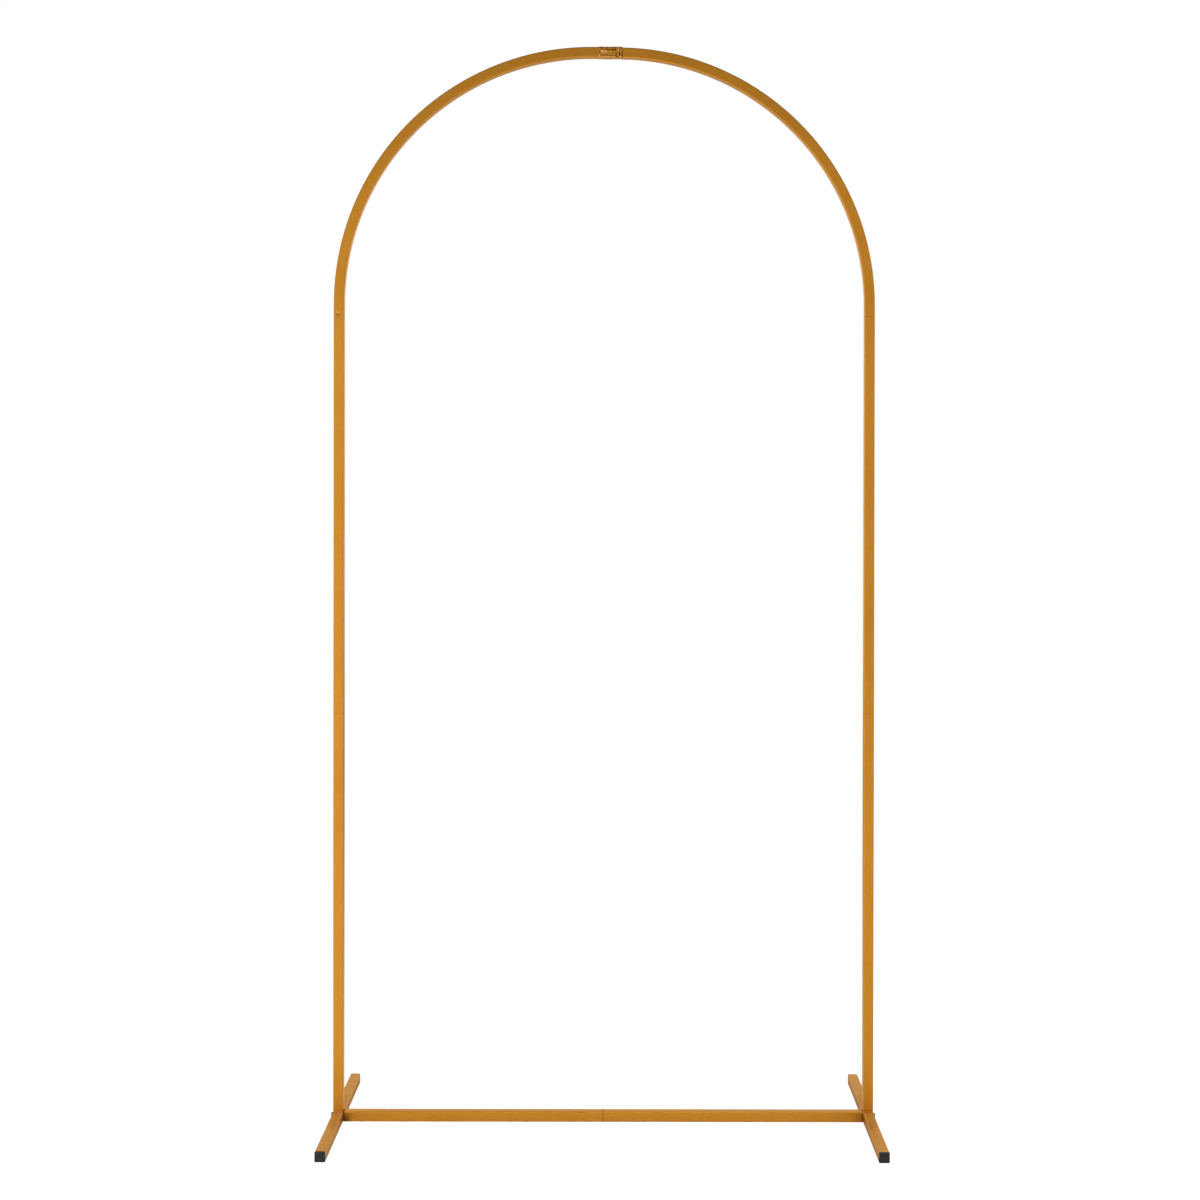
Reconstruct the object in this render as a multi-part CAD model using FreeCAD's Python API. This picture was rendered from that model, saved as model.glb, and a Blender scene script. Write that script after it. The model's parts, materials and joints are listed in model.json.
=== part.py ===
"""Free-standing arch frame of thin square steel tube that plugs together.

Units are millimetres. X runs across the archway, Y from the front to the back and Z up.
The origin is on the floor, in the middle of the archway.
"""
import FreeCAD, Part

import math
import os

from FreeCAD import Vector

# Overall sizes
arch_height = 2000.0
arch_width = 1006.0
foot_length = 450.0

# Square tube
tube_size = 19.0
tube_wall = 0.8
tube_corner = 2.0

# Flats that stand for the rounding of a corner: swept or lofted corners, and a tube's bore
soft_corner_flat_count = 3
bore_corner_flat_count = 1

# Bends: straight tube left below each bend, and on each side of the middle of the crown
spring_straight = 22.0
crown_half_straight = 25.0

# The left arch tube is the longer one: its mouth reaches this far over the right bend
crown_seam_past_bend = 8.0

# Plug-in joints: one tube's end is swaged down to a spigot that slides into the next tube
plug_play = 1.0
spigot_length = 45.0
spigot_corner = 1.6
swage_length = 4.0
seam_gap = 0.3
crown_contact_gap = 0.1

# Welded stub on each foot
bead_height = 2.7
bead_top_width = 0.5
bead_clearance = 0.05

# Bolt, from the outside of a foot into the end of the crossbar
bolt_radius = 3.0
bolt_hole_clearance = 0.25
bolt_length = 38.0
bolt_head_radius = 6.0
bolt_head_height = 4.6
bolt_crown_height = 1.8
bolt_crown_radius = 4.2
bolt_hex_width = 4.0
bolt_hex_depth = 2.4
bolt_tip_chamfer = 0.6

# Plastic insert in each outer end of the crossbar
insert_flange = 1.5
insert_flange_inset = 0.3
insert_length = 20.0
insert_clearance = 0.15
thread_clearance = 0.05

# Plastic plugs in the ends of the feet
plug_flange = 2.5
plug_edge_radius = 0.8
plug_edge_steps = 2
plug_shank_length = 18.0
plug_shank_wall = 1.6
plug_shank_gap = 1.1
plug_rib_gap = 0.15
plug_rib_width = 1.2
plug_rib_count = 4

# Strip wound round the end of the left arch tube, over the crown joint
wrap_length = 44.0
wrap_thickness = 0.5
wrap_clearance = 0.1

# Sizes that follow
bore_size = tube_size - 2 * tube_wall
bore_corner = tube_corner - tube_wall
spigot_size = bore_size - 2 * plug_play
crown_seam_x = crown_half_straight + crown_seam_past_bend
leg_x = (arch_width - tube_size) / 2
foot_inner_x = arch_width / 2 - tube_size
foot_middle_z = tube_size / 2
bar_end_x = foot_inner_x - insert_flange
bend_radius = arch_width / 2 - crown_half_straight - tube_size / 2
crown_z = arch_height - tube_size / 2
crown_sag = plug_play - crown_contact_gap
spring_seam_z = crown_z - bend_radius - spring_straight
leg_foot_z = tube_size + bead_height + seam_gap
leg_tube_length = (spring_seam_z - leg_foot_z) / 2
mid_seam_z = leg_foot_z + leg_tube_length

LEFT = -1
RIGHT = 1
ACROSS = Vector(1, 0, 0)
BACK = Vector(0, 1, 0)
UP = Vector(0, 0, 1)


def square_profile(size, corner, centre, normal, across, flats=soft_corner_flat_count):
    """Closed square wire across a direction; its corners are arcs if flats is 0."""
    side = normal.cross(across)
    flat_half = size / 2 - corner
    steps = flats or 2
    corners = []
    for quarter in range(4):
        middle_angle = math.radians(90 * quarter + 45)
        corner_u = math.copysign(flat_half, math.cos(middle_angle))
        corner_v = math.copysign(flat_half, math.sin(middle_angle))
        points = []
        for step in range(steps + 1):
            angle = math.radians(90 * (quarter + step / steps))
            points.append(centre + across * (corner_u + corner * math.cos(angle))
                          + side * (corner_v + corner * math.sin(angle)))
        corners.append(points)
    edges = []
    for quarter, points in enumerate(corners):
        if flats:
            for start, end in zip(points, points[1:]):
                edges.append(Part.LineSegment(start, end).toShape())
        else:
            edges.append(Part.Arc(*points).toShape())
        edges.append(Part.LineSegment(points[-1], corners[(quarter + 1) % 4][0]).toShape())
    return Part.Wire(edges)


def run(profile, direction, length):
    """Straight solid from a profile along a direction."""
    return Part.Face(profile).extrude(direction * length)


def square_prism(size, corner, start, direction, length, across, flats=soft_corner_flat_count):
    """Solid square bar from a start point along a direction."""
    return run(square_profile(size, corner, start, direction, across, flats), direction, length)


def tube_profile(inset, centre, normal, across, flats=0):
    """Outline of the tube, or of its bore when it is inset by the wall."""
    if inset:
        flats = bore_corner_flat_count
    return square_profile(tube_size - 2 * inset, tube_corner - inset, centre, normal, across,
                          flats)


def spigot_profile(inset, centre, normal, across, flats=0):
    """Outline of a swaged end, or of its bore when it is inset by the wall."""
    if inset:
        flats = bore_corner_flat_count
    return square_profile(spigot_size - 2 * inset, spigot_corner - inset, centre, normal, across,
                          flats)


def joined(pieces):
    """One solid from pieces that meet face to face."""
    whole = pieces[0].fuse(pieces[1:])
    return whole.removeSplitter()


def hollow(core):
    """Tube from a function that gives its solid core for an inset of its surface."""
    return core(0.0).cut(core(tube_wall))


def straight_tube(start, direction, length, across):
    """Plain tube, open at both ends."""
    return hollow(lambda inset: run(tube_profile(inset, start, direction, across), direction,
                                    length))


def plug_in_tube(start, direction, length, across):
    """Tube with an open mouth at its start and a swaged spigot beyond its far shoulder."""
    shoulder = start + direction * length
    neck = shoulder + direction * swage_length

    def core(inset):
        reduced = spigot_profile(inset, neck, direction, across)
        return joined([
            run(tube_profile(inset, start, direction, across), direction, length),
            Part.makeLoft([tube_profile(inset, shoulder, direction, across), reduced], True,
                          True),
            run(reduced, direction, spigot_length - swage_length),
        ])

    return hollow(core)


def bend_core(inset, bend_z, bend_angle):
    """Straight end and bend on the right, from the mouth over the leg towards the crown."""
    mouth = Vector(leg_x, 0, spring_seam_z)
    bend_start = Vector(leg_x, 0, bend_z)
    bend_centre = Vector(crown_half_straight, 0, bend_z)
    section = Part.Face(tube_profile(inset, bend_start, UP, ACROSS, soft_corner_flat_count))
    straight = run(tube_profile(inset, mouth, UP, ACROSS, soft_corner_flat_count), UP,
                   bend_z - spring_seam_z)
    return [straight, section.revolve(bend_centre, -BACK, bend_angle)]


def left_arch_tube():
    """Quarter bend with a long open mouth that reaches past the middle of the crown."""
    bend_end = Vector(crown_half_straight, 0, crown_z)

    def core(inset):
        top = run(tube_profile(inset, bend_end, -ACROSS, UP, soft_corner_flat_count), -ACROSS,
                  crown_half_straight + crown_seam_x)
        return joined(bend_core(inset, crown_z - bend_radius, 90) + [top])

    return mirrored(hollow(core), LEFT)


def right_arch_tube():
    """Quarter bend whose swaged end plugs into the left one and hangs on it by its play."""
    bend_z = crown_z - crown_sag - bend_radius
    shoulder_x = crown_seam_x + seam_gap
    shoulder_angle = math.asin((shoulder_x - crown_half_straight) / bend_radius)
    bend_angle = 90 - math.degrees(shoulder_angle)
    shoulder = Vector(shoulder_x, 0, bend_z + bend_radius * math.cos(shoulder_angle))
    slope = Vector(-math.cos(shoulder_angle), 0, math.sin(shoulder_angle))
    neck = Vector(shoulder_x - swage_length, 0, bend_z + bend_radius)

    def core(inset):
        full = tube_profile(inset, shoulder, slope, BACK, soft_corner_flat_count)
        reduced = spigot_profile(inset, neck, -ACROSS, BACK, soft_corner_flat_count)
        spigot = run(reduced, -ACROSS, spigot_length - swage_length)
        return joined(bend_core(inset, bend_z, bend_angle)
                      + [Part.makeLoft([full, reduced], True, True), spigot])

    return hollow(core)


def mirrored(shape, side):
    """A shape modelled on the right, put on the side that it belongs to."""
    if side == LEFT:
        return shape.mirror(Vector(0, 0, 0), ACROSS)
    return shape


def lower_leg():
    start = Vector(leg_x, 0, leg_foot_z)
    return plug_in_tube(start, UP, mid_seam_z - seam_gap - leg_foot_z, ACROSS)


def upper_leg():
    start = Vector(leg_x, 0, mid_seam_z)
    return plug_in_tube(start, UP, spring_seam_z - seam_gap - mid_seam_z, ACROSS)


def crossbar_half(side):
    """Half of the crossbar: the right half plugs into the left one at the middle."""
    start = Vector(bar_end_x, 0, foot_middle_z)
    if side == RIGHT:
        return plug_in_tube(start, -ACROSS, bar_end_x - seam_gap, BACK)
    return mirrored(straight_tube(start, -ACROSS, bar_end_x, BACK), LEFT)


def foot():
    """Tube from front to back under a leg, drilled across for the bolt."""
    start = Vector(leg_x, -(foot_length / 2 - plug_flange), foot_middle_z)
    tube = straight_tube(start, BACK, foot_length - 2 * plug_flange, ACROSS)
    drill = Part.makeCylinder(bolt_radius + bolt_hole_clearance, 2 * tube_size,
                              Vector(leg_x - tube_size, 0, foot_middle_z), ACROSS)
    return tube.cut(drill)


def foot_stub():
    """Short upright tube that the leg slides over, welded to the top of the foot."""
    base = Vector(leg_x, 0, tube_size)
    height = leg_foot_z + spigot_length - tube_size
    return hollow(lambda inset: run(spigot_profile(inset, base, UP, ACROSS), UP, height))


def weld_bead():
    """Weld round the foot of the stub, as wide as the tube at its base."""
    base = Vector(leg_x, 0, tube_size)
    top = base + UP * bead_height
    opening = spigot_size + 2 * bead_clearance
    lower = square_profile(tube_size, tube_corner, base, UP, ACROSS)
    upper = square_profile(opening + 2 * bead_top_width, spigot_corner + bead_top_width, top,
                           UP, ACROSS)
    body = Part.makeLoft([lower, upper], True, True)
    hole = square_prism(opening, spigot_corner, base, UP, bead_height, ACROSS, flats=0)
    return body.cut(hole)


def foot_bolt():
    """Pan-head bolt with a hexagon socket; its head bears on the outside of the foot."""
    outline = [
        Vector(bolt_head_height, 0, 0),
        Vector(bolt_head_height, bolt_crown_radius, 0),
        Vector(bolt_head_height - bolt_crown_height, bolt_head_radius, 0),
        Vector(0, bolt_head_radius, 0),
        Vector(0, bolt_radius, 0),
        Vector(-bolt_length + bolt_tip_chamfer, bolt_radius, 0),
        Vector(-bolt_length, bolt_radius - bolt_tip_chamfer, 0),
        Vector(-bolt_length, 0, 0),
        Vector(bolt_head_height, 0, 0),
    ]
    bolt = Part.Face(Part.makePolygon(outline)).revolve(Vector(0, 0, 0), ACROSS, 360)
    hex_points = []
    for corner in range(7):
        angle = math.radians(60 * corner)
        reach = bolt_hex_width / math.sqrt(3)
        hex_points.append(Vector(bolt_head_height - bolt_hex_depth, reach * math.cos(angle),
                                 reach * math.sin(angle)))
    socket = Part.Face(Part.makePolygon(hex_points)).extrude(ACROSS * bolt_head_height)
    bolt = bolt.cut(socket)
    bolt.translate(Vector(arch_width / 2, 0, foot_middle_z))
    return bolt


def bar_insert():
    """Flanged insert in the end of the crossbar, which takes the bolt."""
    face_x = foot_inner_x
    flange = square_prism(tube_size - 2 * insert_flange_inset, tube_corner,
                          Vector(face_x, 0, foot_middle_z), -ACROSS, insert_flange, BACK)
    shank_size = bore_size - 2 * insert_clearance
    shank = square_prism(shank_size, bore_corner, Vector(bar_end_x, 0, foot_middle_z), -ACROSS,
                         insert_length, BACK, bore_corner_flat_count)
    hole = Part.makeCylinder(bolt_radius + thread_clearance, insert_flange + insert_length,
                             Vector(face_x, 0, foot_middle_z), -ACROSS)
    return joined([flange, shank]).cut(hole)


def foot_plug(end):
    """Ribbed hollow plug with a rounded cap; end is -1 at the front and 1 at the back."""
    seat = Vector(leg_x, foot_length / 2 - plug_flange, foot_middle_z)
    edge_profiles = [square_profile(tube_size, tube_corner, seat, BACK, ACROSS)]
    for step in range(plug_edge_steps + 1):
        angle = math.radians(90 * step / plug_edge_steps)
        inset = plug_edge_radius * (1 - math.cos(angle))
        rise = plug_flange - plug_edge_radius * (1 - math.sin(angle))
        edge_profiles.append(square_profile(tube_size - 2 * inset, tube_corner - inset,
                                            seat + BACK * rise, BACK, ACROSS))
    cap = Part.makeLoft(edge_profiles, True, True)
    shank_size = bore_size - 2 * plug_shank_gap
    shank = square_prism(shank_size, bore_corner, seat, -BACK, plug_shank_length, ACROSS,
                         bore_corner_flat_count)
    pieces = [cap, shank]
    rib_pitch = (plug_shank_length - plug_rib_width) / plug_rib_count
    for rib in range(plug_rib_count):
        rib_start = seat - BACK * (rib_pitch * (rib + 1))
        pieces.append(square_prism(bore_size - 2 * plug_rib_gap, bore_corner, rib_start, -BACK,
                                   plug_rib_width, ACROSS, bore_corner_flat_count))
    pocket = square_prism(shank_size - 2 * plug_shank_wall, bore_corner, seat, -BACK,
                          plug_shank_length, ACROSS, bore_corner_flat_count)
    plug = joined(pieces).cut(pocket)
    if end < 0:
        plug = plug.mirror(Vector(0, 0, 0), BACK)
    return plug


def crown_wrap():
    """Strip wound round the mouth of the left arch tube."""
    start = Vector(crown_seam_x, 0, crown_z)
    opening = tube_size + 2 * wrap_clearance
    outer = opening + 2 * wrap_thickness
    outer_corner = tube_corner + wrap_clearance + wrap_thickness
    outside = square_prism(outer, outer_corner, start, -ACROSS, wrap_length, BACK)
    inside = square_prism(opening, tube_corner + wrap_clearance, start, -ACROSS, wrap_length,
                          BACK)
    return outside.cut(inside)


def all_pieces():
    """Every piece of the arch by name."""
    pieces = {
        "left_arch_tube": left_arch_tube(),
        "right_arch_tube": right_arch_tube(),
        "crown_wrap": crown_wrap(),
    }
    for side_name, side in (("left", LEFT), ("right", RIGHT)):
        pieces[side_name + "_crossbar"] = crossbar_half(side)
        pieces[side_name + "_upper_leg"] = mirrored(upper_leg(), side)
        pieces[side_name + "_lower_leg"] = mirrored(lower_leg(), side)
        pieces[side_name + "_foot"] = mirrored(foot(), side)
        pieces[side_name + "_foot_stub"] = mirrored(foot_stub(), side)
        pieces[side_name + "_foot_weld"] = mirrored(weld_bead(), side)
        pieces[side_name + "_foot_bolt"] = mirrored(foot_bolt(), side)
        pieces[side_name + "_crossbar_insert"] = mirrored(bar_insert(), side)
        for end_name, end in (("front", -1), ("rear", 1)):
            pieces[side_name + "_" + end_name + "_plug"] = mirrored(foot_plug(end), side)
    return pieces


os.makedirs("parts", exist_ok=True)
for name, shape in all_pieces().items():
    solid = shape.Solids[0] if len(shape.Solids) == 1 else shape
    if not solid.isValid():
        raise RuntimeError(name + " is not a valid solid")
    solid.exportStep("parts/" + name + ".step")
    print(name, "solids", len(shape.Solids), "volume", round(shape.Volume, 1))
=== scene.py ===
"""Looks of the gold arch stand: finishes, weld beads, plugs, bolts and the crown's foil strip.

Units are metres. X runs across the archway, Y from the front to the back and Z up.
"""
import json
import math
import random

import bmesh
import bpy
from mathutils import Matrix, Vector, geometry, noise


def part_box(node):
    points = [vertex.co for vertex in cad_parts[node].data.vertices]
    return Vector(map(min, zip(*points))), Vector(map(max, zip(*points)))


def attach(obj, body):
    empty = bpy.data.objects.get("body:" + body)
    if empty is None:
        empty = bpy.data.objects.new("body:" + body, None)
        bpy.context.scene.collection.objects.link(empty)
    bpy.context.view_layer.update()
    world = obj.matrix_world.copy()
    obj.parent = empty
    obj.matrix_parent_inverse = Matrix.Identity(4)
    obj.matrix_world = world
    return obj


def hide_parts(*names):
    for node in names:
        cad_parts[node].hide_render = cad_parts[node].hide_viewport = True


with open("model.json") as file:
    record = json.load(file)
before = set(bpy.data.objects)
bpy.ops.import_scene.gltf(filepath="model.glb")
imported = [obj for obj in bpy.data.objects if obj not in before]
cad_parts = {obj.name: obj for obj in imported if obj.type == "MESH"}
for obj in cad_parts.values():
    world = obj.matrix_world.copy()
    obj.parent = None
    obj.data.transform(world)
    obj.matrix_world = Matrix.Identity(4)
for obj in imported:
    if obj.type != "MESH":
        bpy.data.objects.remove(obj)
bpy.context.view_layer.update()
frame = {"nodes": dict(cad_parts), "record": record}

MM = 0.001
WHITE = (1.0, 1.0, 1.0, 1.0)
GOLD_SHEEN = (1.0, 0.85, 0.58, 1.0)

# Sizes read from the frame
foot_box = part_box("left_foot")
tube_size = foot_box[1].x - foot_box[0].x
half_tube = tube_size / 2
leg_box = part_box("right_lower_leg")
leg_x = (leg_box[0].x + leg_box[1].x) / 2
leg_foot_z = leg_box[0].z
mid_seam_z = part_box("right_upper_leg")[0].z
spring_seam_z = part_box("right_arch_tube")[0].z
bar_end_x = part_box("right_crossbar")[1].x
foot_end_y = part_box("left_rear_plug")[1].y
wrap_low, wrap_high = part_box("crown_wrap")
crown_z = (wrap_low.z + wrap_high.z) / 2

# The flanges of the bar's inserts show as thin spacers between the bar and the feet
spacer_thickness = 1.5 * MM
foot_inner_x = bar_end_x + spacer_thickness


def as_colour(red, green, blue):
    """Linear colour of a paint that is written with the 0 to 255 numbers of a screen."""
    linear = []
    for channel in (red, green, blue):
        share = channel / 255
        linear.append(share / 12.92 if share <= 0.04045 else ((share + 0.055) / 1.055) ** 2.4)
    return (*linear, 1.0)


class Value:
    """A shader socket that takes part in plain sums, products and comparisons."""

    def __init__(self, sheet, socket):
        self.sheet = sheet
        self.socket = socket

    def join(self, operation, *others, clamp=False):
        """What a Math node makes of this value and others."""
        settings = {"operation": operation, "use_clamp": clamp}
        node = self.sheet.node("ShaderNodeMath", settings, dict(enumerate((self,) + others)))
        return self.sheet.value(node)

    def __add__(self, other):
        return self.join("ADD", other)

    __radd__ = __add__

    def __sub__(self, other):
        return self.join("SUBTRACT", other)

    def __rsub__(self, other):
        node = self.sheet.node("ShaderNodeMath", {"operation": "SUBTRACT"}, {0: other, 1: self})
        return self.sheet.value(node)

    def __mul__(self, other):
        return self.join("MULTIPLY", other)

    __rmul__ = __mul__

    def __abs__(self):
        return self.join("ABSOLUTE")

    def __or__(self, other):
        return self.join("MAXIMUM", other)

    def clamped(self):
        """This value, kept between 0 and 1."""
        return self.join("ADD", 0.0, clamp=True)

    def ramp(self, start, end):
        """0 below the start, 1 above the end and smooth between them."""
        node = self.sheet.node("ShaderNodeMapRange", {"interpolation_type": "SMOOTHSTEP"},
                               {"Value": self, "From Min": start, "From Max": end})
        return self.sheet.value(node)

    def near(self, place, reach):
        """1 at a place along this value, fading to 0 at its reach on both sides."""
        return 1 - abs(self - place).ramp(0.0, reach)

    def on_right(self):
        """0 on the left half of the stand and 1 on its right half, for its place across."""
        return self.ramp(-0.1, 0.1)


class Sheet:
    """The node tree of one finish."""

    def __init__(self, tree):
        self.tree = tree
        self.tree.nodes.clear()

    def node(self, kind, settings=None, sockets=None):
        """A node of one kind: its settings are set first, then its sockets fed or linked."""
        node = self.tree.nodes.new(kind)
        for name, setting in (settings or {}).items():
            setattr(node, name, setting)
        for name, content in (sockets or {}).items():
            self.feed(node.inputs[name], content)
        return node

    def feed(self, socket, content):
        if isinstance(content, Value):
            self.tree.links.new(content.socket, socket)
        elif isinstance(content, bpy.types.NodeSocket):
            self.tree.links.new(content, socket)
        else:
            socket.default_value = content

    def value(self, node, output=0):
        return Value(self, node.outputs[output])

    def place(self):
        """Object coordinates, as a vector socket and as three values."""
        spot = self.node("ShaderNodeTexCoord").outputs["Object"]
        parts = self.node("ShaderNodeSeparateXYZ", None, {"Vector": spot})
        return spot, [self.value(parts, axis) for axis in range(3)]

    def noise(self, spot, scale, detail=2.0, roughness=0.5):
        node = self.node("ShaderNodeTexNoise", None,
                         {"Vector": spot, "Scale": scale, "Detail": detail,
                          "Roughness": roughness})
        return self.value(node, "Fac")

    def cells(self, spot, scale, softness=0.0):
        """A random value for each cell of an irregular grid, with hard or soft edges."""
        sockets = {"Vector": spot, "Scale": scale}
        if softness:
            sockets["Smoothness"] = softness
        cell = self.node("ShaderNodeTexVoronoi", {"feature": "SMOOTH_F1" if softness else "F1"},
                         sockets)
        parts = self.node("ShaderNodeSeparateColor", None, {"Color": cell.outputs["Color"]})
        return self.value(parts, "Red")

    def mix(self, share, first, second):
        """Colour between two colours."""
        node = self.node("ShaderNodeMix", {"data_type": "RGBA"}, {0: share, 6: first, 7: second})
        return self.value(node, 2)

    def coated(self, colour, *coats):
        """A colour under coats that are laid on in turn, each a share and a paint."""
        for share, paint in coats:
            colour = self.mix(share, colour, as_colour(*paint))
        return colour

    def bump(self, height, strength, distance, below=None):
        sockets = {"Height": height, "Strength": strength, "Distance": distance}
        if below is not None:
            sockets["Normal"] = below
        return self.value(self.node("ShaderNodeBump", None, sockets))

    def ray_kinds(self):
        """1 for rays from the camera, and 1 for mirrored and refracted ones."""
        ray = self.node("ShaderNodeLightPath")
        mirrored = self.value(ray, "Is Glossy Ray") | self.value(ray, "Is Transmission Ray")
        return self.value(ray, "Is Camera Ray"), mirrored

    def surface(self, **sockets):
        """Principled surface on the output; an underscore stands for a space in a name."""
        named = {name.replace("_", " "): content for name, content in sockets.items()}
        shader = self.node("ShaderNodeBsdfPrincipled", None, named)
        self.node("ShaderNodeOutputMaterial", None, {"Surface": shader.outputs[0]})

    def glow(self, strength):
        """Shader that gives plain white light."""
        return self.node("ShaderNodeEmission", None,
                         {"Color": WHITE, "Strength": strength}).outputs[0]

    def between(self, share, first, second):
        """Shader between two shaders."""
        return self.node("ShaderNodeMixShader", None,
                         {0: share, 1: first, 2: second}).outputs[0]


def new_finish(name):
    material = bpy.data.materials.new(name)
    material.use_nodes = True
    return material, Sheet(material.node_tree)


def gold_paint():
    """Satin gold paint with fine flake.

    It is grimy and chipped beside the seams, where painted shade also darkens it, and rubbed at
    the floor. Painted shade darkens the bar's front at its ends, and on the foot tops round the
    welds it is duller with dust and paler with painted light.
    """
    material, sheet = new_finish("gold_paint")
    spot, (across, depth, height) = sheet.place()
    right_half = across.on_right()
    high_up = height.ramp(1.9, 1.91)
    on_bar = ((1 - height.ramp(0.05, 0.06))
              * (1 - abs(across).ramp(bar_end_x + 0.5 * MM, bar_end_x + 1.0 * MM)))

    def seam_mask(reach):
        """1 along every seam between two tubes; less where a seam shows less."""
        legs = height.near(leg_foot_z, reach) * 0.7 | height.near(mid_seam_z, reach) * 0.35
        legs = legs | height.near(spring_seam_z, reach) * (0.2 + 0.25 * right_half)
        bar = across.near(0.0, reach * 1.5) * 0.6 | abs(across).near(bar_end_x, reach)
        crown = across.near(wrap_high.x, reach) * high_up
        return legs | (bar * on_bar) | crown

    # Patterns of the paint itself
    cloud = sheet.noise(spot, 5.0, 3.0)
    blotch = sheet.noise(spot, 42.0, 4.0, 0.6)
    speck = sheet.noise(spot, 900.0, 2.0)
    flake = sheet.cells(spot, 2600.0)
    peel = sheet.noise(spot, 520.0, 2.0)
    scuff = sheet.noise(spot, 160.0, 3.0).ramp(0.5, 0.62)

    # Wear and dirt, with painted shade along the seams and on the bar's ends
    # The seams' grime also stands in for the shade in their gaps and steps: painted shade
    grime_and_seam_shade = seam_mask(1.6 * MM) * (0.55 + 0.45 * blotch)
    chips = seam_mask(2.6 * MM) * speck.ramp(0.60, 0.66)
    floor_rub = (1 - height.ramp(0.4 * MM, 2.4 * MM)) * scuff
    bare = (chips | floor_rub).clamped()
    # Painted shade on the bar's front beside the feet, darker lower down and weaker on the right
    bar_end = abs(across).ramp(bar_end_x - 17 * MM, bar_end_x + 1 * MM) * (1 - right_half * 0.75)
    bar_front = on_bar * (1 - height.ramp(14.0 * MM, 17.5 * MM))
    painted_bar_end_shade = bar_end * bar_front * (1 - 0.45 * height.ramp(2.0 * MM, 14.0 * MM))
    painted_bar_end_shade = (painted_bar_end_shade * (0.7 + 0.4 * blotch)).clamped()
    # Foot tops close to the legs: rougher with dust, and paler with painted light
    foot_top = (height.near(tube_size, 0.6 * MM)
                * abs(across).ramp(foot_inner_x - 0.2 * MM, foot_inner_x + 0.1 * MM))
    dust_and_painted_light = foot_top * (1 - abs(depth).ramp(45.0 * MM, 110.0 * MM))

    # Painted highlight on the lip of the burr at the spring of the left arch tube, and a dark spot
    # below it
    at_burr = height.near(spring_seam_z + 7.0 * MM, 9.0 * MM) * (1 - right_half)
    painted_burr_highlight = (0 - depth).ramp(half_tube + 0.08 * MM, half_tube + 0.2 * MM) * at_burr
    dark_spot_below_burr = (across.near(-leg_x - 1.6 * MM, 5.0 * MM)
            * height.near(spring_seam_z + 2.6 * MM, 2.8 * MM)
            * (1 - depth.ramp(-half_tube + 0.1 * MM, -half_tube + 0.5 * MM)))

    plain = sheet.mix(cloud.ramp(0.3, 0.7), as_colour(204, 136, 35), as_colour(211, 143, 41))
    colour = sheet.coated(
        plain,
        (blotch.ramp(0.35, 0.75) * 0.25, (198, 126, 26)),
        (flake.ramp(0.72, 1.0) * 0.22, (238, 186, 84)),
        ((1 - flake.ramp(0.0, 0.28)) * 0.2, (160, 96, 18)),
        (dust_and_painted_light * 0.5, (246, 188, 104)),
        (painted_bar_end_shade, (88, 50, 20)),
        (grime_and_seam_shade * 0.55, (84, 56, 22)),
        (dark_spot_below_burr * 0.6, (112, 60, 14)),
        (bare, (72, 60, 48)),
        (painted_burr_highlight.clamped(), (255, 214, 122)),
    )
    peel_bump = sheet.bump(peel, 0.25, 0.05 * MM)
    sheet.surface(
        Base_Color=colour,
        Metallic=0.72 - 0.3 * bare,
        Roughness=0.34 + 0.08 * blotch + 0.06 * flake + 0.3 * grime_and_seam_shade + 0.2 * bare + 0.3 * dust_and_painted_light,
        Normal=sheet.bump(bare, -0.6, 0.06 * MM, below=peel_bump),
        Specular_Tint=GOLD_SHEEN,
        Coat_Weight=0.08 - 0.06 * bare,
        Coat_Roughness=0.12,
    )
    return material


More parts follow.
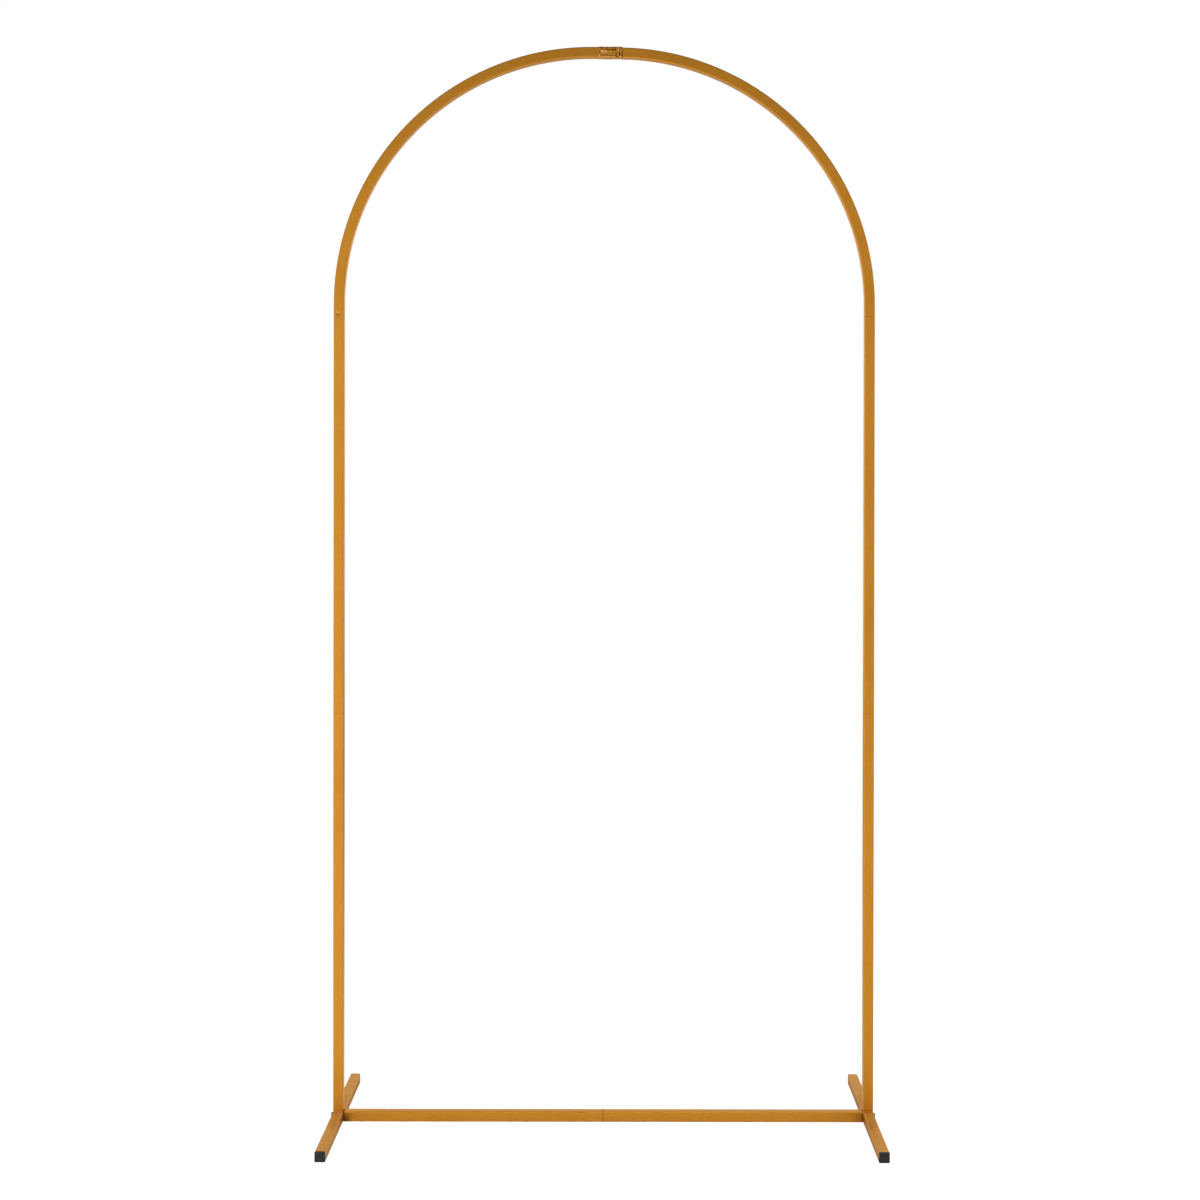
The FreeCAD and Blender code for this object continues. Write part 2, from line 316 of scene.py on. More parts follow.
def gold_foil():
    """Crinkled gold film, with a painted pale sheen where its left half is pulled smooth.

    Its front is pinched into facets towards the right, painted light and dark as highlights and
    shade; its right rim is darkened with painted shade, and painted glints sit on crease tops, the
    left lip and a fold.
    """
    material, sheet = new_finish("gold_foil")
    spot, (across, depth, height) = sheet.place()
    # Crinkle noise: a bump, and its peaks also carry painted glints
    crease = sheet.noise(spot, 420.0, 4.0, 0.7)
    haze = sheet.noise(spot, 70.0, 3.0)
    facet = sheet.cells(spot, 400.0, 0.3)
    # Painted pale sheen on the smooth patch of the left half
    painted_sheen_patch = across.near(wrap_low.x + 11 * MM, 10 * MM) * height.near(crown_z, 7 * MM)
    # Painted shade on the right rim
    painted_shade_rim = across.ramp(wrap_high.x - 2.2 * MM, wrap_high.x - 0.6 * MM)
    on_front = 1 - depth.ramp(-half_tube + 0.5 * MM, -half_tube + 4.0 * MM)
    # On the pinched front, cells are painted light and dark as the highlights and shade of facets
    pinched = across.ramp(wrap_high.x - 16 * MM, wrap_high.x - 13 * MM) * (1 - painted_shade_rim) * on_front
    # Painted glints on the left lip and on a fold's top
    painted_lip_glint = (across.near(wrap_low.x + 1.2 * MM, 2.2 * MM)
               * height.near(crown_z - 5.0 * MM, 3.6 * MM))
    painted_fold_glint = (across.near(wrap_low.x + 22.5 * MM, 3.4 * MM)
                * height.near(crown_z + 0.6 * MM, 1.6 * MM))
    plain = sheet.mix(haze.ramp(0.3, 0.7), as_colour(192, 124, 32), as_colour(208, 144, 56))
    colour = sheet.coated(
        plain,
        (painted_sheen_patch * 0.7, (222, 160, 104)),
        (crease.ramp(0.62, 0.75) * 0.5, (248, 200, 116)),
        (painted_shade_rim * 0.6, (112, 66, 22)),
        (pinched * (1 - facet.ramp(0.24, 0.42)) * 0.85, (98, 48, 6)),
        (pinched * facet.ramp(0.64, 0.82) * 0.9, (250, 196, 112)),
        ((painted_lip_glint | painted_fold_glint).clamped() * 0.8, (248, 198, 104)),
    )
    sheet.surface(
        Base_Color=colour,
        Metallic=0.9,
        Roughness=0.14 + 0.16 * haze,
        Normal=sheet.bump(crease, 0.35, 0.1 * MM),
        Specular_Tint=GOLD_SHEEN,
        Coat_Weight=0.12,
        Coat_Roughness=0.08,
    )
    return material


def dark_steel():
    """Dull yellowish plated steel, rubbed brighter on high spots."""
    material, sheet = new_finish("dark_steel")
    spot, _ = sheet.place()
    stain = sheet.noise(spot, 260.0, 4.0, 0.65)
    rub = sheet.noise(spot, 900.0, 3.0).ramp(0.55, 0.7)
    plain = sheet.mix(stain.ramp(0.3, 0.7), as_colour(104, 88, 62), as_colour(138, 120, 90))
    sheet.surface(
        Base_Color=sheet.coated(plain, (rub * 0.5, (178, 162, 130))),
        Metallic=0.9,
        Roughness=0.38 + 0.2 * stain,
        Normal=sheet.bump(stain, 0.3, 0.05 * MM),
    )
    return material


def black_plastic():
    """Moulded black plastic with a fine spark grain and a little dust.

    The inserts in the bar are darkened with painted shade and rougher there, and where they show
    between the bar and the feet they are browner, more on the right; gold paint reached the top of
    the right one.
    """
    material, sheet = new_finish("black_plastic")
    spot, (across, depth, height) = sheet.place()
    grain = sheet.noise(spot, 2200.0, 2.0)
    haze = sheet.noise(spot, 120.0, 4.0, 0.6)
    right_half = across.on_right()
    # Painted shade darkens the inserts inside the bar and up to the feet, which are also rougher
    # there
    shaded_in_bar = 1 - abs(across).ramp(foot_inner_x - 0.2 * MM, foot_inner_x)
    # Where the flanges show between the bar and the feet they are browner, more on the right
    spacer = (abs(across).ramp(bar_end_x - 0.4 * MM, bar_end_x)
              * (1 - abs(across).ramp(foot_inner_x + 0.1 * MM, foot_inner_x + 0.4 * MM))
              * (1 - abs(depth).ramp(15.0 * MM, 20.0 * MM)))
    overspray = spacer * right_half * height.ramp(tube_size - 1.8 * MM, tube_size - 0.6 * MM)
    plain = sheet.mix(haze.ramp(0.35, 0.75), as_colour(34, 34, 35), as_colour(52, 51, 50))
    colour = sheet.coated(
        plain,
        (grain.ramp(0.62, 0.72) * 0.4, (92, 90, 86)),
        (shaded_in_bar * 0.85, (26, 15, 8)),
        (spacer * (0.4 + 0.4 * right_half), (132, 72, 20)),
        (overspray * 0.9, (226, 160, 68)),
    )
    sheet.surface(
        Base_Color=colour,
        Roughness=0.42 + 0.16 * haze + 0.3 * shaded_in_bar,
        Normal=sheet.bump(grain, 0.35, 0.05 * MM),
    )
    return material


finishes = {
    "gold_paint": gold_paint(),
    "gold_foil": gold_foil(),
    "dark_steel": dark_steel(),
    "black_plastic": black_plastic(),
}


def finish_frame_nodes():
    """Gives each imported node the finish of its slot."""
    for subpart in frame["record"]["subparts"]:
        node = frame["nodes"][subpart["node"]]
        for material_slot in node.material_slots:
            material_slot.material = finishes[subpart["material_slot"]]


def square_ring(size, corner, corner_steps=6, side_steps=1):
    """Points round a rounded square, centred on 0."""
    flat = size / 2 - corner
    points = []
    for quarter in range(4):
        middle = math.radians(90 * quarter + 45)
        u = math.copysign(flat, math.cos(middle))
        v = math.copysign(flat, math.sin(middle))
        for step in range(corner_steps + 1):
            angle = math.radians(90 * (quarter + step / corner_steps))
            points.append(Vector((u + corner * math.cos(angle), v + corner * math.sin(angle))))
        turn = Matrix.Rotation(math.radians(90), 2)
        next_start = turn @ points[-corner_steps - 1]
        for step in range(1, side_steps):
            points.append(points[-1].lerp(next_start, 1 / (side_steps - step + 1)))
    return points


def shell(name, rings, slot, sharp_angle=40):
    """Closed piece through rings of as many points each."""
    shape = bmesh.new()
    made = [[shape.verts.new(point) for point in ring] for ring in rings]
    for lower, upper in zip(made, made[1:]):
        for index in range(len(lower)):
            after = (index + 1) % len(lower)
            shape.faces.new((lower[index], lower[after], upper[after], upper[index]))
    for ring in (made[0], made[-1]):
        middle = sum((vertex.co for vertex in ring), Vector()) / len(ring)
        pole = shape.verts.new(middle)
        for index in range(len(ring)):
            shape.faces.new((ring[index], ring[(index + 1) % len(ring)], pole))
    return finished_piece(name, shape, slot, sharp_angle)


def finished_piece(name, shape, slot, sharp_angle):
    """Piece of a bmesh: normals outward, smooth but for its sharp edges."""
    mesh = bpy.data.meshes.new(name)
    bmesh.ops.recalc_face_normals(shape, faces=shape.faces)
    for face in shape.faces:
        face.smooth = True
    shape.to_mesh(mesh)
    shape.free()
    mesh.set_sharp_from_angle(angle=math.radians(sharp_angle))
    mesh.materials.append(finishes[slot])
    return new_piece(name, mesh)


def new_piece(name, mesh):
    """Object that rides on the frame, with the finish its mesh already has."""
    piece = bpy.data.objects.new(name, mesh)
    bpy.context.scene.collection.objects.link(piece)
    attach(piece, "root")
    return piece


def end_plug(side_name, end_name):
    """Moulded end plug: a cap with a soft edge and a gate mark, and a ribbed shank in the tube."""
    node = side_name + "_" + end_name + "_plug"
    low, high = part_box(node)
    centre = (low + high) / 2
    outward = 1 if end_name == "rear" else -1
    face_y = high.y if outward > 0 else low.y
    rings = []

    def ring(depth, size, corner):
        """Rounded square at a depth from the cap's face, all three in millimetres."""
        y = face_y - outward * depth * MM
        rings.append([Vector((centre.x + u, y, centre.z + v))
                      for u, v in square_ring(size * MM, corner * MM)])

    cap = tube_size / MM
    cap_corner = 2.0
    soft_edge = 0.9
    cap_thickness = 2.5
    gate_depth, gate, gate_corner = 0.25, 2.6, 1.2
    ring(gate_depth, gate, gate_corner)
    ring(0.06, gate + 0.6, gate_corner + 0.2)
    ring(0.0, cap - 2.6 * soft_edge, 1.3)
    for step in range(5):
        angle = math.radians(22.5 * step)
        inset = soft_edge * (1 - math.sin(angle))
        ring(soft_edge * (1 - math.cos(angle)) + 0.01, cap - 2 * inset, cap_corner - inset)
    ring(cap_thickness, cap, cap_corner)
    shank, shank_corner = cap - 3.8, 1.2
    rib, rib_corner = cap - 1.9, 1.3
    shank_end = 20.5
    for start in (3.9, 8.1, 12.3, 16.5):
        ring(start, shank, shank_corner)
        ring(start + 0.3, rib, rib_corner)
        ring(start + 1.0, rib, rib_corner)
        ring(start + 1.6, shank, shank_corner)
    ring(shank_end, shank - 1.0, 1.0)
    plug = shell(side_name + "_" + end_name + "_cap", rings, "black_plastic")
    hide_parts(node)


# Folds on the front of the crown's foil, in millimetres: along the strip from its left end, down
# from the middle of its front, and off the tube
FRONT_FOLDS = (
    # Lip at the left end, and the hollow beside it
    ((1.0, -8.2, 0.7), (1.4, -3.0, 0.55), (1.1, 1.5, 0.8), (0.9, 4.6, 1.2), (1.3, 8.0, 0.9)),
    ((3.0, -7.6, 0.3), (3.3, -2.4, 0.2), (3.0, 2.0, 0.25), (3.6, 6.4, 0.2)),
    # Smooth patch
    ((4.6, -7.4, 0.55), (10.5, -7.8, 0.8), (16.2, -7.2, 0.55)),
    ((5.2, -2.9, 1.05), (11.0, -3.6, 1.25), (16.8, -2.8, 1.1)),
    ((6.4, 3.1, 0.35), (12.0, 3.6, 0.3), (17.0, 2.2, 0.45)),
    ((5.0, 5.2, 0.2), (10.5, 5.4, 0.25), (16.4, 4.6, 0.4)),
    ((4.6, 8.6, 0.95), (10.8, 8.2, 0.9), (16.4, 8.4, 0.6)),
    # Deep fold with its bright edge, and the lower fold
    ((18.2, -5.4, 0.15), (24.0, -6.0, 0.12), (30.2, -5.2, 0.2)),
    ((18.6, -1.9, 1.15), (24.2, -1.5, 1.35), (30.0, -2.4, 0.95)),
    ((19.2, 0.7, 0.5), (24.8, 1.0, 0.6), (29.8, 0.8, 0.35)),
    ((18.4, 2.8, 0.95), (26.6, 2.9, 1.0), (30.4, 3.4, 0.6)),
    ((18.8, 5.8, 0.3), (27.2, 5.6, 0.35)),
    ((18.4, 8.2, 0.65), (27.0, 8.4, 0.7)),
)


def foil_facets(length, girth_all, draw):
    """Crumpled strip laid flat: triangles of points along the strip, round it and off it.

    All numbers here are millimetres. Round the strip, 0 is the middle of its front and the
    numbers grow downwards.
    """
    points = []
    creases = []
    most_apart = 2.0

    def crease(*spots):
        """A fold through given spots, with points close enough together."""
        line = [Vector(spots[0])]
        for start, end in zip(spots, spots[1:]):
            pieces = math.ceil(math.dist(start[:2], end[:2]) / most_apart)
            line.extend(Vector(start).lerp(Vector(end), step / pieces)
                        for step in range(1, pieces + 1))
        creases.extend((len(points) + step, len(points) + step + 1)
                       for step in range(len(line) - 1))
        points.extend(tuple(spot) for spot in line)

    # The strip's outline: wavy ends, and the two sides that meet on its back
    end_steps = 26
    end_high, end_low = 0.45, 0.2
    for along in (0.0, length):
        crease(*((along, girth_all * (step / end_steps - 0.5), end_high if step % 2 else end_low)
                 for step in range(end_steps + 1)))
    for side in (-0.5, 0.5):
        crease((0.0, girth_all * side, end_low), (length, girth_all * side, end_low))

    # The step down where the strip's last turn ends, on its back
    for place, height in ((0.36, 0.62), (0.365, 0.15)):
        crease((0.6, girth_all * place, height), (length - 0.6, girth_all * place, height))

    for fold in FRONT_FOLDS:
        crease(*fold)

    # Pinched pyramids at the right end, each between four low corners
    pinch = 2.5
    pinch_rows = range(-3, 4)
    pinch_columns = range(6)
    grid = {}
    for down in pinch_rows:
        for column in pinch_columns:
            low = (down + column) % 2 == 0
            grid[down, column] = len(points)
            points.append((length - 1.2 - column * pinch + draw.uniform(-0.3, 0.3),
                           down * pinch + draw.uniform(-0.3, 0.3),
                           draw.uniform(0.1, 0.35) if low else draw.uniform(0.75, 1.5)))
            for before in (down - 1, column - 1), (down - 1, column + 1):
                if low and before in grid:
                    creases.append((grid[before], grid[down, column]))

    # Random folds on all the rest
    least_apart = 2.0
    tries = 6000
    for _ in range(tries):
        spot = (draw.uniform(1.0, length - 1.0), draw.uniform(-0.5, 0.5) * (girth_all - 2.0))
        if all((spot[0] - x) ** 2 + (spot[1] - y) ** 2 > least_apart ** 2 for x, y, _ in points):
            high = draw.random() < 0.5
            points.append((*spot, draw.uniform(0.7, 1.25) if high else draw.uniform(0.12, 0.3)))
    flat = geometry.delaunay_2d_cdt([Vector(point[:2]) for point in points], creases, [], 0, 1e-6)
    spots, triangles, sources = flat[0], flat[2], flat[3]
    crossing_height = 0.4
    heights = [points[source[0]][2] if source else crossing_height for source in sources]
    return [(*spot, height) for spot, height in zip(spots, heights)], triangles


def soften(shape, rounds):
    """Rounds the creases of a flat strip: heights drift to the mean of their neighbours'."""
    inner = [vertex for vertex in shape.verts if not vertex.is_boundary]
    for _ in range(rounds):
        means = [sum(edge.other_vert(vertex).co.z for edge in vertex.link_edges)
                 / len(vertex.link_edges) for vertex in inner]
        for vertex, mean in zip(inner, means):
            vertex.co.z += 0.5 * (mean - vertex.co.z)


def crown_foil():
    """Crinkled strip wound over the crown joint, pressed on in folds."""
    length = wrap_high.x - wrap_low.x
    opening = wrap_high.z - wrap_low.z - 1.0 * MM
    corner = 2.1 * MM
    flat = opening - 2 * corner
    quarter_girth = flat + corner * math.pi / 2
    spots, facets = foil_facets(length / MM, 4 * quarter_girth / MM, random.Random(7))

    # The flat strip, in millimetres: finer, softer, a little uneven, with its ends turned in
    shape = bmesh.new()
    made = [shape.verts.new(spot) for spot in spots]
    for facet in facets:
        shape.faces.new([made[index] for index in facet])
    bmesh.ops.subdivide_edges(shape, edges=shape.edges[:], cuts=3, use_grid_fill=True)
    soften(shape, 2)
    for vertex in shape.verts:
        if not vertex.is_boundary:
            vertex.co.z += 0.06 * noise.noise(vertex.co * Vector((0.9, 0.9, 0.0)))
    ends = [edge for edge in shape.edges if edge.is_boundary
            and abs(edge.verts[0].co.x - edge.verts[1].co.x) < 1e-4]
    at_ends = {vertex for edge in ends for vertex in edge.verts}
    turned_in = {vertex: shape.verts.new((vertex.co.x, vertex.co.y, 0.0))
                 for vertex in shape.verts[:] if vertex in at_ends}
    for edge in ends:
        second = edge.link_loops[0].vert
        first = edge.other_vert(second)
        shape.faces.new((first, second, turned_in[second], turned_in[first]))

    # Wound round the tube: its ends are ragged, but for the seam on the back
    top_press = 0.5
    most_ragged = 0.5 * MM
    ragged_grain = 160
    seam_fade = 4 * MM
    for vertex in shape.verts:
        along, girth, height = vertex.co * MM
        quarter, rest = divmod(girth + flat / 2, quarter_girth)
        turn = max(rest - flat, 0.0) / corner
        facing = Matrix.Rotation(math.radians(90) * quarter, 2)
        outward = facing @ Vector((-math.cos(turn), -math.sin(turn)))
        centre = facing @ Vector((corner - opening / 2, flat / 2 - min(rest, flat)))
        height *= 1 - top_press * max(0.0, outward.y)
        place = centre + outward * (corner + height)
        to_seam = 2 * quarter_girth - abs(girth)
        wander = noise.noise(Vector((girth * ragged_grain, 3.7, 0)))
        ragged = min(1.0, to_seam / seam_fade) * most_ragged * wander
        vertex.co = (wrap_low.x + along + ragged * (1 - 2 * along / length), place.x,
                     min(crown_z + place.y, wrap_high.z))
    bmesh.ops.remove_doubles(shape, verts=shape.verts, dist=0.002 * MM)
    bmesh.ops.bridge_loops(shape, edges=[edge for edge in shape.edges if edge.is_boundary])
    foil = finished_piece("crown_foil", shape, "gold_foil", sharp_angle=50)
    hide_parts("crown_wrap")


thread_core = 2.55 * MM


def foot_bolt(side_name, outward):
    """Pan head with a hexagon socket, and a threaded shank in the bar's insert."""
    low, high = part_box(side_name + "_foot_bolt")
    face_x = max(abs(low.x), abs(high.x))
    length = high.x - low.x
    head_radius = (high.z - low.z) / 2
    head_height = 4.6 * MM
    dome_height = 2.2 * MM
    flat_radius = 3.3 * MM
    socket_radius = 2.3 * MM
    socket_depth = 2.2 * MM
    neck_radius = 3.0 * MM
    steps = 36
    rings = []

    def ring(depth, radius, hexagon=0.0):
        """Circle, or hexagon, at a depth from the top of the head."""
        points = []
        for step in range(steps):
            angle = 2 * math.pi * step / steps
            to_flat = math.pi / 6 - angle % (math.pi / 3)
            hexagon_radius = radius * math.cos(math.pi / 6) / math.cos(to_flat)
            reach = radius + (hexagon_radius - radius) * hexagon
            points.append(Vector((outward * (face_x - depth), reach * math.cos(angle),
                                  half_tube + reach * math.sin(angle))))
        rings.append(points)

    # Socket, dome, rim and underside of the head
    ring(socket_depth + 0.4 * MM, 0.6 * MM)
    ring(socket_depth, socket_radius, 1.0)
    ring(0.35 * MM, socket_radius, 1.0)
    ring(0.0, socket_radius + 0.4 * MM)
    for step in range(9):
        angle = math.radians(6 + 10.5 * step)
        ring(dome_height * (1 - math.cos(angle)) + 0.02 * MM,
             flat_radius + (head_radius - flat_radius) * math.sin(angle))
    ring(head_height - 0.4 * MM, head_radius)
    ring(head_height, head_radius - 0.3 * MM)
    # Neck, core of the thread and its tapered end
    ring(head_height, neck_radius)
    ring(head_height + 1.6 * MM, neck_radius)
    ring(head_height + 2.0 * MM, thread_core)
    ring(length - 0.6 * MM, thread_core)
    ring(length, thread_core - 0.6 * MM)
    bolt = shell(side_name + "_pan_bolt", rings, "dark_steel", sharp_angle=32)
    thread_start = outward * (face_x - head_height - 2.0 * MM)
    thread_end = outward * (face_x - length + 0.8 * MM)
    add_thread(bolt, thread_start, thread_end, half_tube)
    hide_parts(side_name + "_foot_bolt")


def curve_place(before, start, end, after, share):
    """Place between start and end on a smooth curve that also heeds the places beside them."""
    return 0.5 * (2 * start + (end - before) * share
                  + (2 * before - 5 * start + 4 * end - after) * share ** 2
                  + (3 * start - before - 3 * end + after) * share ** 3)


def seam_burr():
    """Curled lip where the mouth of the left arch tube was nicked on its front, by the leg."""
    left_x = -leg_x - half_tube
    # From its upper end, in millimetres: across from the tube's left side, over the seam,
    # half its width, stand-off
    path = ((4.0, 11.2, 0.12, 0.08), (4.6, 9.4, 0.5, 0.5), (5.9, 7.3, 0.64, 0.62),
            (7.7, 6.0, 0.66, 0.6), (9.7, 5.9, 0.5, 0.45), (11.7, 6.6, 0.12, 0.06))
    steps = 10
    ring_steps = 12
    rings = []
    for before, start, end, after in zip((path[0], *path), path, path[1:], (*path[2:], path[-1])):
        slope = Vector((end[0] - start[0], end[1] - start[1])).normalized()
        side = Vector((slope.y, 0, -slope.x))
        for step in range(steps):
            across, rise, half_width, off = [
                curve_place(*four, step / steps) * MM for four in zip(before, start, end, after)]
            middle = Vector((left_x + across, -half_tube, spring_seam_z + rise))
            ring = []
            for turn in range(ring_steps):
                angle = 2 * math.pi * turn / ring_steps
                ring.append(middle + side * half_width * math.cos(angle)
                            - Vector((0, 1, 0)) * off * math.sin(angle))
            rings.append(ring)
    shell("left_seam_burr", rings, "gold_paint", sharp_angle=60)


trees = {}


def node_tree(name, sizes):
    """Geometry tree with named inputs; gives its sheet, its input node and the tree."""
    tree = bpy.data.node_groups.new(name, "GeometryNodeTree")
    face = tree.interface
    face.new_socket(name="Geometry", in_out="INPUT", socket_type="NodeSocketGeometry")
    kinds = {int: "NodeSocketInt", float: "NodeSocketFloat"}
    for size_name, size in sizes.items():
        face.new_socket(name=size_name, in_out="INPUT",
                        socket_type=kinds.get(type(size), "NodeSocketMaterial"))
    face.new_socket(name="Geometry", in_out="OUTPUT", socket_type="NodeSocketGeometry")
    sheet = Sheet(tree)
    return sheet, sheet.node("NodeGroupInput"), tree


def end_tree(sheet, given, shape):
    """Ends a geometry tree: its shape is made real and takes the given finish."""
    whole = sheet.node("GeometryNodeRealizeInstances", None, {"Geometry": shape.outputs[0]})
    finish = sheet.node("GeometryNodeSetMaterial", None,
                        {"Geometry": whole.outputs[0], "Material": given.outputs["Finish"]})
    sheet.node("NodeGroupOutput", None, {"Geometry": finish.outputs[0]})


def grown(name, mesh, tree, sizes):
    """Plain mesh that a geometry tree makes of a mesh, with the sizes given by name."""
    holder = bpy.data.objects.new(name, mesh)
    bpy.context.scene.collection.objects.link(holder)
    modifier = holder.modifiers.new(name, "NODES")
    modifier.node_group = tree
    for item in tree.interface.items_tree:
        if item.item_type == "SOCKET" and item.in_out == "INPUT" and item.name in sizes:
            modifier[item.identifier] = sizes[item.name]
    depsgraph = bpy.context.evaluated_depsgraph_get()
    made = bpy.data.meshes.new_from_object(holder.evaluated_get(depsgraph))
    made.name = name
    holder.modifiers.clear()
    bpy.data.objects.remove(holder)
    return made


def thread_tree(sizes):
    """Helix of a thread: a ridge with flat flanks round the bolt's core."""
    sheet, given, tree = node_tree("bolt_thread", sizes)
    turns = sheet.node("ShaderNodeMath", {"operation": "DIVIDE"},
                       {0: given.outputs["Length"], 1: given.outputs["Pitch"]})
    helix = sheet.node("GeometryNodeCurveSpiral", None,
                       {"Resolution": given.outputs["Points per turn"],
                        "Rotations": turns.outputs[0],
                        "Start Radius": given.outputs["Core radius"],
                        "End Radius": given.outputs["Core radius"],
                        "Height": given.outputs["Length"]})
    ridge = sheet.node("GeometryNodeCurvePrimitiveCircle", None,
                       {"Resolution": 4, "Radius": given.outputs["Ridge"]})
    swept = sheet.node("GeometryNodeCurveToMesh", None,
                       {"Curve": helix.outputs[0], "Profile Curve": ridge.outputs[0],
                        "Fill Caps": True})
    laid = sheet.node("GeometryNodeTransform", None,
                      {"Geometry": swept.outputs[0],
                       "Rotation": (0.0, math.radians(90), 0.0)})
    end_tree(sheet, given, laid)
    return tree


def add_thread(bolt, start_x, end_x, height):
    """Joins a grown thread to a bolt, between two places along X."""
    sizes = {"Length": abs(end_x - start_x), "Pitch": 1.0 * MM, "Core radius": thread_core,
             "Ridge": 0.42 * MM, "Points per turn": 20, "Finish": finishes["dark_steel"]}
    if "thread" not in trees:
        trees["thread"] = thread_tree(sizes)
    thread = grown("thread", bpy.data.meshes.new("thread_seed"), trees["thread"], sizes)
    thread.transform(Matrix.Translation((min(start_x, end_x), 0, height)))
    shape = bmesh.new()
    shape.from_mesh(thread)
    bmesh.ops.recalc_face_normals(shape, faces=shape.faces)
    shape.to_mesh(thread)
    shape.clear()
    shape.from_mesh(bolt.data)
    shape.from_mesh(thread)
    shape.to_mesh(bolt.data)
    shape.free()


def weld_tree(sizes):
    """Rippled bead that follows a closed path of edges."""
    sheet, given, tree = node_tree("weld_ripples", sizes)
    path = sheet.node("GeometryNodeMeshToCurve", None, {"Mesh": given.outputs["Geometry"]})
    even = sheet.node("GeometryNodeResampleCurve", {"mode": "COUNT"},
                      {"Curve": path.outputs[0], "Count": given.outputs["Rings"]})
    share = sheet.node("GeometryNodeSplineParameter").outputs["Factor"]
    kept = sheet.node("GeometryNodeStoreNamedAttribute",
                      {"data_type": "FLOAT", "domain": "POINT"},
                      {"Geometry": even.outputs[0], "Name": "share", "Value": share})
    section = sheet.node("GeometryNodeCurvePrimitiveCircle", None,
                         {"Resolution": 14, "Radius": given.outputs["Half width"]})
    swept = sheet.node("GeometryNodeCurveToMesh", None,
                       {"Curve": kept.outputs[0], "Profile Curve": section.outputs[0]})
    read = sheet.node("GeometryNodeInputNamedAttribute", {"data_type": "FLOAT"},
                      {"Name": "share"})
    place = sheet.node("GeometryNodeInputPosition").outputs[0]
    wander = sheet.noise(place, 420.0)
    uneven = sheet.noise(place, 130.0)
    parts = sheet.node("ShaderNodeSeparateXYZ", None, {"Vector": place})
    phase = sheet.value(read) * math.pi * sheet.value(given, "Ripples")
    phase = phase + 7.0 * uneven + 800.0 * abs(sheet.value(parts, 2))
    ripple = abs(phase.join("SINE")) - 0.6
    lumps = 3.2 * (uneven - 0.5) + 0.8 * (wander - 0.5)
    amount = (ripple + lumps) * sheet.value(given, "Depth")
    outward = sheet.node("GeometryNodeInputNormal").outputs[0]
    push = sheet.node("ShaderNodeVectorMath", {"operation": "SCALE"},
                      {"Vector": outward, "Scale": amount})
    moved = sheet.node("GeometryNodeSetPosition", None,
                       {"Geometry": swept.outputs[0], "Offset": push.outputs[0]})
    stretched = sheet.node("GeometryNodeTransform", None,
                           {"Geometry": moved.outputs[0], "Scale": (1.0, 1.0, 1.6)})
    end_tree(sheet, given, stretched)
    return tree


def weld_bead(side_name, side_x):
    """Rippled weld round the foot's stub, under the mouth of the leg."""
    sizes = {"Rings": 420, "Half width": 1.05 * MM, "Ripples": 34.0, "Depth": 0.13 * MM,
             "Finish": finishes["gold_paint"]}
    if "weld" not in trees:
        trees["weld"] = weld_tree(sizes)
    path_size, path_corner, rise = 16.7 * MM, 2.2 * MM, 0.75 * MM
    corners = square_ring(path_size, path_corner, corner_steps=5, side_steps=2)
    edges = [(index, (index + 1) % len(corners)) for index in range(len(corners))]
    path = bpy.data.meshes.new("weld_path")
    path.from_pydata([(point.x, point.y, 0) for point in corners], edges, [])
    bead = grown(side_name + "_weld_ripples", path, trees["weld"], sizes)
    bead.transform(Matrix.Translation((side_x, 0, tube_size + rise)))
    shape = bmesh.new()
    shape.from_mesh(bead)
    bmesh.ops.recalc_face_normals(shape, faces=shape.faces)
    for face in shape.faces:
        face.smooth = True
    shape.to_mesh(bead)
    shape.free()
    piece = new_piece(side_name + "_weld_ripples", bead)
    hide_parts(side_name + "_foot_weld")


def surroundings():
    """White for the camera; on the object, a bright back, a dimmer front and a dim ceiling.

    Mirrored, the back is brighter and its upper part is warmer.
    """
    world = bpy.data.worlds.new("studio")
    bpy.context.scene.world = world
    world.use_nodes = True
    sheet = Sheet(world.node_tree)
    direction = sheet.node("ShaderNodeTexCoord").outputs["Generated"]
    parts = sheet.node("ShaderNodeSeparateXYZ", None, {"Vector": direction})
    towards_back = sheet.value(parts, 1)
    up = sheet.value(parts, 2)
    camera_ray, mirrored = sheet.ray_kinds()
    backdrop = (1 - up.ramp(0.3, 0.85)) * towards_back.ramp(-0.35, 0.25)
    front_wall = 0.76 * (1 - up.ramp(0.08, 0.44))
    ceiling = 0.2
    room = (backdrop * (0.85 + 0.42 * mirrored)) | front_wall | ceiling
    warm_white = (1.0, 0.95, 0.72, 1.0)
    light = sheet.node("ShaderNodeBackground", None,
                       {"Color": sheet.mix(mirrored * up.ramp(0.18, 0.3), WHITE, warm_white),
                        "Strength": camera_ray + (1 - camera_ray) * room})
    sheet.node("ShaderNodeOutputWorld", None, {"Surface": light.outputs[0]})


